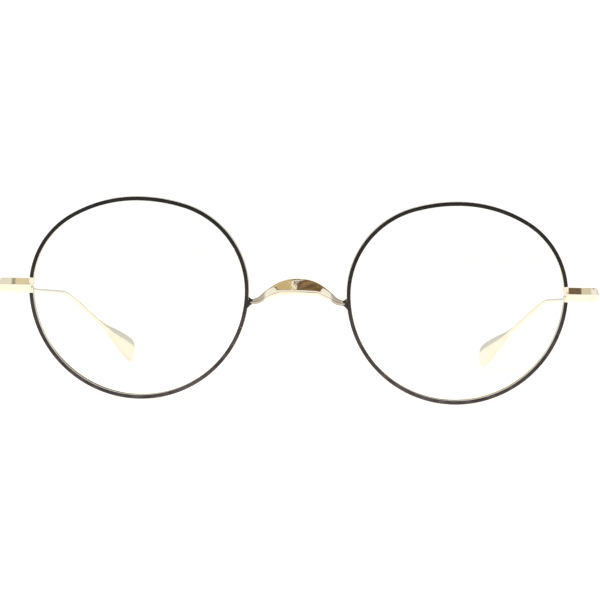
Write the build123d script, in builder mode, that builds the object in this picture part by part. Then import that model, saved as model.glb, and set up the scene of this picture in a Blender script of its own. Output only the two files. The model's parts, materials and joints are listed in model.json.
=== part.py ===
from build123d import *
import os
from math import atan2, cos, degrees, radians, sin, sqrt

# Round metal eyeglasses frame. Millimetres. The front faces -Y, the temples run back
# along +Y and the wearer's left is +X. Every piece is first made as the frame is worn,
# with level temples, and the whole frame is then set down open on a flat table.

# --- Driving dimensions -------------------------------------------------------------
lens_width = 48.0
box_difference = 4.0        # how much lower than wide the lens is
lens_gap = 22.0             # between the two lenses, across the nose
temple_corner_step = 1.5    # how much tighter the temple corner is than the rise to the brow
nasal_corner_step = 0.7
wrap = 4.5                  # degrees, each eyewire turned round the face
pantoscopic_tilt = 8.0      # degrees, front against temples

eyewire_width = 0.9         # seen from the front
eyewire_depth = 1.7
groove_width = 0.9
groove_depth = 0.33
enamel_width = 0.84
enamel_rise = 0.2
enamel_gap = 3.4            # bare stretch of eyewire at the endpiece
split = 0.16                # saw cut through the eyewire at the lock

lens_curve = 131.0          # outside radius of the lens
lens_thickness = 1.4
lens_clearance = 0.03

lock_rise = 2.5             # lock and hinge above the lens centre line
endpiece_reach = 7.05       # from the eyewire out to the endpiece's ridge
bar_height = 3.0            # endpiece and temple butt
bar_thickness = 1.2         # at the ridge
bar_edge = 0.8              # at the upper and lower edges
shoulder_sweep = 22.0       # degrees swept back between the lock blocks and the bend
bend_radius = 1.6           # centre line of the endpiece's bend
seat_gap = 0.05             # endpiece off the eyewire, both brazed to the lock
hinge_depth = 5.6           # hinge axis behind the endpiece's centre line

block_length = 2.7
block_wrap = 0.6            # block carried behind the eyewire, then trimmed to it
block_depth = 2.4
lower_block_gap = 0.1       # lower lock block off the endpiece, so that the lock can open
lock_screw_shift = 0.1      # screw off the middle of the blocks, away from the eyewire
screw_radius = 0.6
screw_head_radius = 0.9
screw_head_height = 0.5
slot_width = 0.22
slot_depth = 0.25
head_rounding = 0.12
head_recess = 0.05          # lock screw's head below the block's face
lock_screw_cover = 0.5      # metal left over the end of the lock screw
thread_clearance = 0.02
shank_clearance = 0.04

knuckle_radius = 1.05
knuckle_height = 0.76       # the temple's knuckle, in the middle
upper_knuckle_height = 0.4  # low, so that the screw's head stays below the bar's top
lower_knuckle_height = 0.75
knuckle_gap = 0.05          # axial play each side of it
leaf_thickness = 0.35
leaf_length = 3.5
leaf_height = 2.4
leaf_clearance = 0.12       # knuckle to the other side's leaf
butt_gap = 0.06             # left at the stop when the temple is open

butt_length = 5.0
taper_length = 38.0         # faceted bar tapering to wire
taper_drop = 0.8            # how far the wire runs below the bar
wire_radius = 0.5
wire_edge = 0.8             # taper's thickness at its edges where it meets the wire
wire_overlap = 4.0          # wire run on inside the taper and the paddle
bar_to_bend = 90.0          # butt to the corner of the ear bend
inward_run = 3.2            # how far the wire leans in on the way
ear_length = 49.0           # from that corner to the tip
ear_drop = 16.6
ear_inward = 14.0
ear_radius = 36.0
paddle_length = 29.0
paddle_width = 6.6
paddle_thickness = 1.0
paddle_rounding = 0.35

crest_height = 3.1          # saddle crest above the lens centre line
crest_set_back = 0.6        # behind the lens plane
crest_width = 4.5
crest_thickness = 1.2
crest_tilt = 45.0
foot_height = -0.45
foot_diameter = 1.15
foot_sink = 0.35            # bridge foot carried past the eyewire's face, then trimmed to it

# --- Lens shape: five tangent arcs ----------------------------------------------------
lens_height = lens_width - box_difference
side_radius = lens_width / 2
side_centre = side_radius - lens_height / 2
top_rise = lens_height / 2 - side_centre
temple_corner_radius = top_rise - temple_corner_step
nasal_corner_radius = top_rise - nasal_corner_step


def top_radius(corner_radius):
    """Radius of the brow arc that meets this corner arc and is level at the top."""
    above = top_rise - corner_radius
    beside = side_radius - corner_radius
    return corner_radius + (above**2 + beside**2) / (2 * above)


def corner_sweep(corner_radius):
    """Degrees of corner arc between the side and the brow."""
    top_centre = lens_height / 2 - top_radius(corner_radius)
    return degrees(atan2(side_centre - top_centre, side_radius - corner_radius))


def rim_outline(grow):
    """Closed lens outline, grown outwards from the eyewire's centre line."""
    temple_sweep = corner_sweep(temple_corner_radius)
    nasal_sweep = corner_sweep(nasal_corner_radius)
    temple_brow = top_radius(temple_corner_radius)
    nasal_brow = top_radius(nasal_corner_radius)
    temple_corner = (side_radius - temple_corner_radius, side_centre)
    nasal_corner = (nasal_corner_radius - side_radius, side_centre)
    CenterArc((0, side_centre), side_radius + grow, 180, 180)
    CenterArc(temple_corner, temple_corner_radius + grow, 0, temple_sweep)
    CenterArc((0, lens_height / 2 - temple_brow), temple_brow + grow, temple_sweep, 90 - temple_sweep)
    CenterArc((0, lens_height / 2 - nasal_brow), nasal_brow + grow, 90, 90 - nasal_sweep)
    CenterArc(nasal_corner, nasal_corner_radius + grow, 180 - nasal_sweep, nasal_sweep)


# --- Reference planes, as worn --------------------------------------------------------
rim_centre = (lens_gap + lens_width) / 2
# local x towards the temple, local y up, normal forwards
rim_plane = Plane(
    origin=(rim_centre, 0, 0),
    x_dir=(cos(radians(wrap)), sin(radians(wrap)), 0),
    z_dir=Vector(sin(radians(wrap)), -cos(radians(wrap)), 0).rotate(Axis.X, pantoscopic_tilt),
)
outer_radius = side_radius + eyewire_width / 2
lock_side = sqrt(outer_radius**2 - (lock_rise - side_centre) ** 2)
lock_point = rim_plane.from_local_coords((lock_side, lock_rise, 0))
lock_plane = Plane(origin=(0, 0, lock_point.Z))

bar_centre = lock_point.Y - eyewire_depth / 2 + bar_thickness / 2
bar_side = lock_point.X + endpiece_reach - bar_thickness / 2
bar_inside = bar_side - bar_thickness / 2
hinge_x = bar_inside - leaf_thickness - leaf_clearance - knuckle_radius
hinge_y = bar_centre + hinge_depth
hinge_plane = Plane(origin=(hinge_x, hinge_y, lock_point.Z))


def bar_section(height, thickness, edge):
    """Bar with a flat inner face at local -x and a ridge along its outer face."""
    Polyline(
        (-thickness / 2, -height / 2),
        (edge - thickness / 2, -height / 2),
        (thickness / 2, 0),
        (edge - thickness / 2, height / 2),
        (-thickness / 2, height / 2),
        close=True,
    )


# --- Eyewire ----------------------------------------------------------------------------
front_land = eyewire_depth / 2 - enamel_rise
rim_start = Plane(
    origin=rim_plane.from_local_coords((-side_radius, side_centre, 0)),
    x_dir=-rim_plane.x_dir,
    z_dir=rim_plane.y_dir,
)

with BuildPart() as left_eyewire:
    with BuildLine(rim_plane) as eyewire_path:
        rim_outline(0)
    with BuildSketch(rim_start) as eyewire_profile:
        with BuildLine():
            Polyline(
                (-eyewire_width / 2, -eyewire_depth / 2),
                (eyewire_width / 2, -eyewire_depth / 2),
                (eyewire_width / 2, front_land),
                (-eyewire_width / 2, front_land),
                (-eyewire_width / 2, groove_width / 2),
                (groove_depth - eyewire_width / 2, 0),
                (-eyewire_width / 2, -groove_width / 2),
                close=True,
            )
        make_face()
    sweep(path=eyewire_path.wires()[0])
    with BuildSketch(rim_plane):
        with Locations((lock_side, lock_rise)):
            Rectangle(4 * eyewire_width, split)
    extrude(amount=eyewire_depth, both=True, mode=Mode.SUBTRACT)

with BuildPart() as left_rim_enamel:
    with BuildLine(rim_plane) as enamel_path:
        rim_outline(0)
    with BuildSketch(rim_start) as enamel_profile:
        with BuildLine():
            ThreePointArc(
                (-enamel_width / 2, front_land),
                (0, front_land + enamel_rise),
                (enamel_width / 2, front_land),
            )
            Line((enamel_width / 2, front_land), (-enamel_width / 2, front_land))
        make_face()
    sweep(path=enamel_path.wires()[0])
    with BuildSketch(rim_plane):
        with Locations((lock_side, lock_rise)):
            Rectangle(4 * eyewire_width, enamel_gap)
    extrude(amount=eyewire_depth, both=True, mode=Mode.SUBTRACT)

# --- Lens: a shallow shell, its edge bevelled to sit in the groove ------------------------
lens_edge = -eyewire_width / 2 - lens_clearance
bulge_centre = rim_plane.from_local_coords((0, 0, -sqrt(lens_curve**2 - side_radius**2)))

with BuildPart() as left_lens:
    with BuildSketch(rim_plane):
        with BuildLine():
            rim_outline(lens_edge)
        make_face()
    extrude(amount=lens_width / 4, both=True)
    with Locations(bulge_centre):
        Sphere(lens_curve + lens_thickness / 2, mode=Mode.INTERSECT)
        Sphere(lens_curve - lens_thickness / 2, mode=Mode.SUBTRACT)
    with BuildLine(rim_plane) as bevel_path:
        rim_outline(0)
    with BuildSketch(rim_start):
        with BuildLine():
            Polyline(
                (lens_edge, -groove_width / 2),
                (lens_edge + groove_depth, 0),
                (lens_edge, groove_width / 2),
                close=True,
            )
        make_face()
    sweep(path=bevel_path.wires()[0])

# --- Endpiece ---------------------------------------------------------------------------
bar_start = lock_point.X + seat_gap
shoulder_start = bar_start + block_length
shoulder_share = sin(radians(shoulder_sweep))
shoulder_run = bar_side - shoulder_start - bend_radius * (1 - shoulder_share)
endpiece_end = hinge_y - butt_gap / 2
with BuildPart() as left_endpiece:
    with BuildLine() as endpiece_path:
        front_run = Line(
            (bar_start, bar_centre, lock_point.Z),
            (shoulder_start, bar_centre, lock_point.Z),
        )
        shoulder = JernArc(front_run @ 1, front_run % 1, shoulder_run / shoulder_share, shoulder_sweep)
        bend = JernArc(shoulder @ 1, shoulder % 1, bend_radius, 90 - shoulder_sweep)
        Line(bend @ 1, (bar_side, endpiece_end, lock_point.Z))
    with BuildSketch(Plane(origin=endpiece_path.line @ 0, x_dir=(0, -1, 0), z_dir=(1, 0, 0))):
        with BuildLine():
            bar_section(bar_height, bar_thickness, bar_edge)
        make_face()
    sweep()

# --- Rim lock: two blocks and a screw that draws them together --------------------------
block_front = bar_centre + bar_thickness / 2
block_centre_x = lock_point.X + block_length / 2
block_centre_y = block_front + block_depth / 2
block_half_height = bar_height / 2
lock_screw_x = block_centre_x + lock_screw_shift
lock_screw_y = block_centre_y + lock_screw_shift
head_seat = screw_head_height + head_recess

with BuildPart() as left_upper_lock_block:
    with BuildSketch(lock_plane.offset(split / 2)):
        with Locations((block_centre_x - block_wrap / 2, block_centre_y)):
            Rectangle(block_length + block_wrap, block_depth)
    extrude(amount=block_half_height - split / 2)
    with BuildSketch(lock_plane):
        with Locations((lock_screw_x, lock_screw_y)):
            Circle(screw_radius + thread_clearance)
    extrude(amount=block_half_height - lock_screw_cover, mode=Mode.SUBTRACT)
    add(left_eyewire.part, mode=Mode.SUBTRACT)

with BuildPart() as left_lower_lock_block:
    with BuildSketch(lock_plane.offset(-split / 2)):
        with Locations((block_centre_x - block_wrap / 2, block_centre_y + lower_block_gap / 2)):
            Rectangle(block_length + block_wrap, block_depth - lower_block_gap)
    extrude(amount=split / 2 - block_half_height)
    with BuildSketch(lock_plane):
        with Locations((lock_screw_x, lock_screw_y)):
            Circle(screw_radius + shank_clearance)
    extrude(amount=-block_half_height, mode=Mode.SUBTRACT)
    with BuildSketch(lock_plane.offset(-block_half_height)):
        with Locations((lock_screw_x, lock_screw_y)):
            Circle(screw_head_radius + shank_clearance)
    extrude(amount=head_seat, mode=Mode.SUBTRACT)
    add(left_eyewire.part, mode=Mode.SUBTRACT)

# --- Screws -------------------------------------------------------------------------------
lock_seat = Plane(
    origin=(lock_screw_x, lock_screw_y, lock_point.Z - block_half_height + head_seat),
    x_dir=(1, 0, 0),
    z_dir=(0, 0, -1),
)
lock_screw_reach = 2 * block_half_height - head_seat - lock_screw_cover
outer_knuckle_start = knuckle_height / 2 + knuckle_gap
hinge_seat = hinge_plane.offset(outer_knuckle_start + upper_knuckle_height)
hinge_screw_reach = upper_knuckle_height + 2 * outer_knuckle_start + lower_knuckle_height


def slotted_screw(seat, reach):
    """Cheese-head screw: its head stands on the seat, its shank runs behind it."""
    with BuildPart() as screw:
        with BuildSketch(seat):
            Circle(screw_head_radius)
        extrude(amount=screw_head_height)
        fillet(faces().sort_by(Axis(seat.origin, seat.z_dir))[-1].edges(), head_rounding)
        with BuildSketch(seat.offset(screw_head_height)):
            Rectangle(3 * screw_head_radius, slot_width)
        extrude(amount=-slot_depth, mode=Mode.SUBTRACT)
        with BuildSketch(seat):
            Circle(screw_radius)
        extrude(amount=-reach)
    return screw.part


with BuildPart() as left_lock_screw:
    add(slotted_screw(lock_seat, lock_screw_reach))

with BuildPart() as left_hinge_screw:
    add(slotted_screw(hinge_seat, hinge_screw_reach))

# --- Hinge: two knuckles on the endpiece, one on the temple between them ------------------
bar_reach = bar_inside - hinge_x
leaf_face = bar_reach - leaf_thickness


def knuckle_outline(side):
    """Barrel and web in plan; side is -1 for the endpiece's leaf and 1 for the temple's."""
    Circle(knuckle_radius)
    web_depth = knuckle_radius - butt_gap / 2
    with Locations((0, side * (knuckle_radius + butt_gap / 2) / 2)):
        Rectangle(bar_reach - leaf_thickness / 2, web_depth, align=(Align.MIN, Align.CENTER))


def leaf_outline(side):
    """The leaf's plate in plan, flat against the bar's inner face."""
    with Locations((leaf_face, side * (leaf_length + butt_gap) / 2)):
        Rectangle(leaf_thickness, leaf_length, align=(Align.MIN, Align.CENTER))


with BuildPart() as left_front_hinge_leaf:
    with BuildSketch(hinge_plane.offset(outer_knuckle_start)):
        knuckle_outline(-1)
    extrude(amount=upper_knuckle_height)
    with BuildSketch(hinge_plane.offset(-outer_knuckle_start)):
        knuckle_outline(-1)
    extrude(amount=-lower_knuckle_height)
    with BuildSketch(hinge_plane):
        leaf_outline(-1)
    extrude(amount=leaf_height / 2, both=True)
    with BuildSketch(hinge_plane):
        Circle(screw_radius + shank_clearance)
    extrude(amount=bar_height, mode=Mode.SUBTRACT)
    with BuildSketch(hinge_plane):
        Circle(screw_radius + thread_clearance)
    extrude(amount=-bar_height, mode=Mode.SUBTRACT)

with BuildPart() as left_temple_hinge_leaf:
    with BuildSketch(hinge_plane):
        knuckle_outline(1)
    extrude(amount=knuckle_height / 2, both=True)
    with BuildSketch(hinge_plane):
        leaf_outline(1)
    extrude(amount=leaf_height / 2, both=True)
    with BuildSketch(hinge_plane):
        Circle(screw_radius + shank_clearance)
    extrude(amount=bar_height, both=True, mode=Mode.SUBTRACT)

# --- Temple: faceted bar, tapering to wire, ear bend and paddle ---------------------------
butt_start = hinge_y + butt_gap / 2
butt_end = Vector(bar_side, butt_start + butt_length, lock_point.Z)
bar_corner = Vector(bar_side - inward_run, butt_start + bar_to_bend, lock_point.Z)
ear_corner = bar_corner - Vector(0, 0, taper_drop)
wire_direction = (bar_corner - butt_end).normalized()
taper_end = butt_end + wire_direction * taper_length - Vector(0, 0, taper_drop)
ear_run_back = sqrt(ear_length**2 - ear_drop**2 - ear_inward**2)
ear_direction = Vector(-ear_inward, ear_run_back, -ear_drop).normalized()
ear_plane = Plane(
    origin=ear_corner,
    x_dir=wire_direction,
    z_dir=wire_direction.cross(ear_direction),
)
ear_angle = radians(wire_direction.get_angle(ear_direction))
wire_start = (ear_corner - taper_end).length + wire_overlap
wire_reach = ear_length - paddle_length + wire_overlap

paddle_plane = Plane(
    origin=ear_corner + ear_direction * (ear_length - paddle_length),
    x_dir=ear_direction,
    z_dir=ear_direction.cross(Vector(0, 0, 1)),
)
paddle_radius = paddle_width / 2
paddle_round = paddle_length - paddle_radius
paddle_centre = paddle_plane.from_local_coords((paddle_round, 0, 0))

with BuildPart() as left_paddle:
    with BuildSketch(paddle_plane):
        with BuildLine():
            Line((0, 0), (0, wire_radius))
            Spline(
                (0, wire_radius),
                (paddle_round, paddle_radius),
                tangents=((1, 0), (1, 0)),
            )
            CenterArc((paddle_round, 0), paddle_radius, 0, 90)
            mirror(about=Plane.XZ)
        make_face()
    extrude(amount=paddle_thickness / 2, both=True)
    broad_faces = faces().filter_by(Axis(paddle_plane.origin, paddle_plane.z_dir))
    fillet(broad_faces.edges().filter_by(GeomType.LINE, reverse=True), paddle_rounding)

with BuildPart() as left_temple:
    butt_plane = Plane(origin=(bar_side, butt_start, lock_point.Z), x_dir=(1, 0, 0), z_dir=(0, 1, 0))
    with BuildSketch(butt_plane):
        with BuildLine():
            bar_section(bar_height, bar_thickness, bar_edge)
        make_face()
    extrude(amount=butt_length)
    with BuildSketch(butt_plane.offset(butt_length)):
        with BuildLine():
            bar_section(bar_height, bar_thickness, bar_edge)
        make_face()
    with BuildSketch(Plane(origin=taper_end, x_dir=(1, 0, 0), z_dir=(0, 1, 0))):
        with BuildLine():
            bar_section(2 * wire_radius, 2 * wire_radius, wire_edge)
        make_face()
    loft(ruled=True)
    with BuildLine(ear_plane) as wire_path:
        FilletPolyline(
            (-wire_start, 0),
            (0, 0),
            (wire_reach * cos(ear_angle), wire_reach * sin(ear_angle)),
            radius=ear_radius,
        )
    with BuildSketch(Plane(origin=wire_path.line @ 0, z_dir=wire_direction)):
        Circle(wire_radius)
    sweep(path=wire_path.line)
    add(left_paddle.part)

# --- Saddle bridge ------------------------------------------------------------------------
foot_side = sqrt(outer_radius**2 - (foot_height - side_centre) ** 2)
foot_point = rim_plane.from_local_coords((-foot_side, foot_height, 0))

# share of the half span, share of the rise, share of the widening, lean of the section
bridge_sections = (
    (0.0, 1.0, 1.0, 0),
    (0.2, 0.965, 0.955, 1),
    (0.37, 0.873, 0.775, 3),
    (0.51, 0.685, 0.5, 9),
    (0.68, 0.374, 0.23, 15),
    (0.79, 0.13, 0.09, 19),
    (0.9, 0.02, 0.0, 21),
    (1.0 + foot_sink / foot_point.X, 0.0, 0.0, 21),
)

with BuildPart() as saddle_bridge:
    mirrored = [(-span, rise, widen, lean) for span, rise, widen, lean in bridge_sections[:0:-1]]
    for span, rise, widen, lean in mirrored + list(bridge_sections):
        depth = foot_point.Y + rise * (crest_set_back - foot_point.Y)
        height = foot_point.Z + rise * (crest_height - foot_point.Z)
        width = foot_diameter + widen * (crest_width - foot_diameter)
        thickness = foot_diameter + widen * (crest_thickness - foot_diameter)
        with BuildSketch(Plane.YZ.offset(span * foot_point.X)):
            with Locations((depth, height)):
                Ellipse(width / 2, thickness / 2, rotation=crest_tilt + lean)
    loft()
    add(left_eyewire.part, mode=Mode.SUBTRACT)
    add(mirror(left_eyewire.part, about=Plane.YZ, mode=Mode.PRIVATE), mode=Mode.SUBTRACT)

# --- The right side, and the frame set down on its eyewires and paddles -------------------
left_pieces = {
    "eyewire": left_eyewire,
    "rim_enamel": left_rim_enamel,
    "lens": left_lens,
    "endpiece": left_endpiece,
    "upper_lock_block": left_upper_lock_block,
    "lower_lock_block": left_lower_lock_block,
    "lock_screw": left_lock_screw,
    "front_hinge_leaf": left_front_hinge_leaf,
    "hinge_screw": left_hinge_screw,
    "temple_hinge_leaf": left_temple_hinge_leaf,
    "temple": left_temple,
}
worn = {"saddle_bridge": saddle_bridge.part}
for piece_name, left_piece in left_pieces.items():
    with BuildPart() as right_piece:
        mirror(left_piece.part, about=Plane.YZ)
    worn["left_" + piece_name] = left_piece.part
    worn["right_" + piece_name] = right_piece.part

eyewire_foot = rim_plane.from_local_coords((0, -(lens_height + eyewire_width) / 2, front_land))
paddle_foot = paddle_centre - Vector(0, 0, paddle_radius)
foot_to_foot = paddle_foot - eyewire_foot
stand_angle = degrees(atan2(foot_to_foot.Z, foot_to_foot.Y))
levelled = Rot(X=-stand_angle)
boxes = [(levelled * piece).bounding_box() for piece in worn.values()]
table = min(box.min.Z for box in boxes)
middle = (min(box.min.Y for box in boxes) + max(box.max.Y for box in boxes)) / 2
set_down = Pos(0, -middle, -table) * levelled

os.makedirs("parts", exist_ok=True)
for piece_name, piece in worn.items():
    placed = set_down * piece
    placed.label = piece_name
    export_step(placed, f"parts/{piece_name}.step")
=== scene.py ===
"""Round metal eyeglasses, set down open: the looks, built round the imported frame.

Every piece is first shaped in millimetres as the frame is worn, with level temples, or in
the plane of one eyewire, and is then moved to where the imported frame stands. Only the lock
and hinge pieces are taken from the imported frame, and their edges are eased.
"""

from __future__ import annotations

import json
import logging
from collections.abc import Iterable, Sequence
from dataclasses import dataclass
from enum import Enum
from math import asin, atan, cos, degrees, pi, radians, sin, sqrt, tan
from typing import Any

import bmesh
import bpy
from mathutils import Matrix, Vector

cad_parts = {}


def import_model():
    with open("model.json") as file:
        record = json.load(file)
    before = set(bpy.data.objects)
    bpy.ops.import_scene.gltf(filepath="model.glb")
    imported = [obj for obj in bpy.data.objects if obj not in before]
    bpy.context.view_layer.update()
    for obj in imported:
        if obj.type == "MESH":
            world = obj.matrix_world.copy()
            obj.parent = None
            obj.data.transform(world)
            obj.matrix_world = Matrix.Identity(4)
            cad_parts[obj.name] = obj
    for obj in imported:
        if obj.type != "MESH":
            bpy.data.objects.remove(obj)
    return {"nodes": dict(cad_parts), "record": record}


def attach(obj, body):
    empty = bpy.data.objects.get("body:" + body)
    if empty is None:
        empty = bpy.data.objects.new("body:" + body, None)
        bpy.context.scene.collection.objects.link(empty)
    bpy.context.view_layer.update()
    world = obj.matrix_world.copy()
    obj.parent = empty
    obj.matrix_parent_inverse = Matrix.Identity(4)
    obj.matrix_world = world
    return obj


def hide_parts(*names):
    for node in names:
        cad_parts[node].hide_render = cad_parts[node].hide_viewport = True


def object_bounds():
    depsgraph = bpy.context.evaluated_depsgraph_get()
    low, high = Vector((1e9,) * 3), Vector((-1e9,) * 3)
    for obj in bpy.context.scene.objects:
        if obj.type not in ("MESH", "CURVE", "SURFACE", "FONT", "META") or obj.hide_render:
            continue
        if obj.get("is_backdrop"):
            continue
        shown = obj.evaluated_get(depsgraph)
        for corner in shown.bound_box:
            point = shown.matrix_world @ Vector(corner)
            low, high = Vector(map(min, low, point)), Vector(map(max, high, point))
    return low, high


log = logging.getLogger("eyeglasses")

MM = 0.001


class Side(Enum):
    """The wearer's side; the value is the sign of x."""

    LEFT = 1
    RIGHT = -1

    @property
    def label(self) -> str:
        """Prefix of the node and piece names on this side."""
        return self.name.lower()


# --- Shader nodes ---------------------------------------------------------------------------


class Signal:
    """A number that varies over a surface, with ordinary arithmetic."""

    def __init__(self, board: Board, socket: bpy.types.NodeSocket) -> None:
        """Wrap an output socket of a board's node."""
        self.board = board
        self.socket = socket

    def _math(self, operation: str, *values: Any) -> Signal:
        """Add one Math node on these values."""
        node = self.board.node(
            "ShaderNodeMath", {"operation": operation}, dict(enumerate(values))
        )
        return Signal(self.board, node.outputs[0])

    def __add__(self, other: Any) -> Signal:
        """Sum."""
        return self._math("ADD", self, other)

    __radd__ = __add__

    def __sub__(self, other: Any) -> Signal:
        """Difference."""
        return self._math("SUBTRACT", self, other)

    def __rsub__(self, other: Any) -> Signal:
        """Difference from a plain number."""
        return self._math("SUBTRACT", other, self)

    def __mul__(self, other: Any) -> Signal:
        """Product."""
        return self._math("MULTIPLY", self, other)

    __rmul__ = __mul__

    def size(self) -> Signal:
        """Absolute value."""
        return self._math("ABSOLUTE", self)

    def rise(self, low: float, high: float) -> Signal:
        """Smooth step from 0 at low to 1 at high; a high below low gives a fall.

        Args:
            low: value where the result is 0.
            high: value where the result is 1.

        Returns:
            The stepped signal.
        """
        node = self.board.node(
            "ShaderNodeMapRange",
            {"interpolation_type": "SMOOTHSTEP"},
            {"Value": self, "From Min": low, "From Max": high},
        )
        return Signal(self.board, node.outputs[0])


class Board:
    """The node tree of one material or world."""

    def __init__(self, tree: bpy.types.NodeTree) -> None:
        """Start from an empty tree."""
        self.tree = tree
        tree.nodes.clear()

    def node(
        self, kind: str, settings: dict[str, Any] | None = None, sockets: dict[Any, Any] | None = None
    ) -> bpy.types.Node:
        """Add a node, set it up, then fill or link its input sockets.

        Args:
            kind: the node's type name.
            settings: properties of the node, set first.
            sockets: values, signals, sockets or nodes by socket name or number.

        Returns:
            The new node.
        """
        node = self.tree.nodes.new(kind)
        for key, value in (settings or {}).items():
            setattr(node, key, value)
        for key, value in (sockets or {}).items():
            if isinstance(value, Signal):
                self.tree.links.new(value.socket, node.inputs[key])
            elif isinstance(value, bpy.types.NodeSocket):
                self.tree.links.new(value, node.inputs[key])
            elif isinstance(value, bpy.types.Node):
                self.tree.links.new(value.outputs[0], node.inputs[key])
            else:
                node.inputs[key].default_value = value
        return node

    def place(self) -> bpy.types.NodeSocket:
        """Object coordinates, in metres."""
        return self.node("ShaderNodeTexCoord").outputs["Object"]

    def axes(self, vector: bpy.types.NodeSocket) -> list[Signal]:
        """The x, y and z of a vector as signals."""
        node = self.node("ShaderNodeSeparateXYZ", None, {0: vector})
        return [Signal(self, socket) for socket in node.outputs]

    def noise(self, scale: float, detail: float = 2.0, stretch: Sequence[float] = (1, 1, 1)) -> Signal:
        """Smooth noise over the object.

        Args:
            scale: lumps per metre.
            detail: how many finer layers are added.
            stretch: scale along each axis.

        Returns:
            A signal around 0.5.
        """
        mapping = self.node("ShaderNodeMapping", None, {"Vector": self.place(), "Scale": stretch})
        node = self.node(
            "ShaderNodeTexNoise", None, {"Vector": mapping.outputs[0], "Scale": scale, "Detail": detail}
        )
        return Signal(self, node.outputs["Fac"] if "Fac" in node.outputs else node.outputs[0])

    def blend(self, factor: Signal | float, first: Any, second: Any) -> bpy.types.NodeSocket:
        """Mix two colours."""
        node = self.node("ShaderNodeMix", {"data_type": "RGBA"}, {0: factor, 6: first, 7: second})
        return node.outputs[2]

    def bump(self, height: Signal, strength: float, depth: float) -> bpy.types.NodeSocket:
        """Surface normal from a height signal."""
        node = self.node(
            "ShaderNodeBump", None, {"Height": height, "Strength": strength, "Distance": depth}
        )
        return node.outputs["Normal"]

    def principled(self, **sockets: Any) -> bpy.types.Node:
        """Add the standard shader; a socket's name has underscores for spaces."""
        named = {name.replace("_", " "): value for name, value in sockets.items()}
        return self.node("ShaderNodeBsdfPrincipled", None, named)

    def finish(self, shader: bpy.types.Node) -> None:
        """Send a shader to the material's output."""
        self.node("ShaderNodeOutputMaterial", None, {"Surface": shader.outputs[0]})


def blank(name: str) -> tuple[bpy.types.Material, Board]:
    """Add an empty material.

    Args:
        name: the material's name.

    Returns:
        The material and the board of its nodes.
    """
    material = bpy.data.materials.new(name)
    material.use_nodes = True
    return material, Board(material.node_tree)


Colour = tuple[float, float, float, float]
# where a smooth step is 0, and where it is 1
Steps = tuple[float, float]
# lumps of noise per metre, and how many finer layers are added
Grain = tuple[float, float]

WHITE: Colour = (1.0, 1.0, 1.0, 1.0)
BLACK: Colour = (0.0, 0.0, 0.0, 1.0)


@dataclass(frozen=True)
class PaleGold:
    """Champagne gold plating, polished by hand: fine scratches and slow waves."""

    name: str = "pale_gold"
    light: Colour = (0.925, 0.872, 0.745, 1.0)
    deep: Colour = (0.91, 0.835, 0.67, 1.0)
    smooth: float = 0.08
    worn: float = 0.2
    waves: Grain = (260.0, 3.0)
    wave_tones: Steps = (0.3, 0.7)
    scratches: Grain = (5200.0, 4.0)
    scratch_depth: float = 0.12
    specks: Grain = (1500.0, 2.0)
    speck_edge: Steps = (0.62, 0.78)
    ripple: Grain = (900.0, 1.0)
    # a greyer, duller tone towards the ends of the piece, from the inner to the outer distance from the
    # middle
    end_grey: Colour = (0.50, 0.455, 0.385, 1.0)
    end_grey_inner: float = 0.0
    end_grey_outer: float = 0.0
    end_grey_waver: float = 0.0012
    end_grey_dulling: float = 0.2

    def make(self) -> bpy.types.Material:
        """Build the material; with an end range it turns greyer and duller towards its ends.

        Returns:
            The material.
        """
        material, board = blank(self.name)
        waves = board.noise(*self.waves)
        scratches = board.noise(*self.scratches)
        specks = board.noise(*self.specks).rise(*self.speck_edge)
        ripple = board.noise(*self.ripple)
        tone = board.blend(waves.rise(*self.wave_tones), self.light, self.deep)
        roughness = self.smooth + (self.worn - self.smooth) * (waves * 0.5 + specks * 0.5)
        # greyer and duller towards the ends of the piece
        if self.end_grey_outer:
            across = board.axes(board.place())[0].size() + (waves - 0.5) * self.end_grey_waver
            tone_shift = across.rise(self.end_grey_inner, self.end_grey_outer)
            tone = board.blend(tone_shift, tone, self.end_grey)
            roughness = roughness + tone_shift * self.end_grey_dulling
        shader = board.principled(
            Base_Color=tone,
            Metallic=1.0,
            Roughness=roughness,
            Normal=board.bump(scratches * self.scratch_depth + ripple, 0.5, 0.02 * MM),
        )
        board.finish(shader)
        return material


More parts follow.
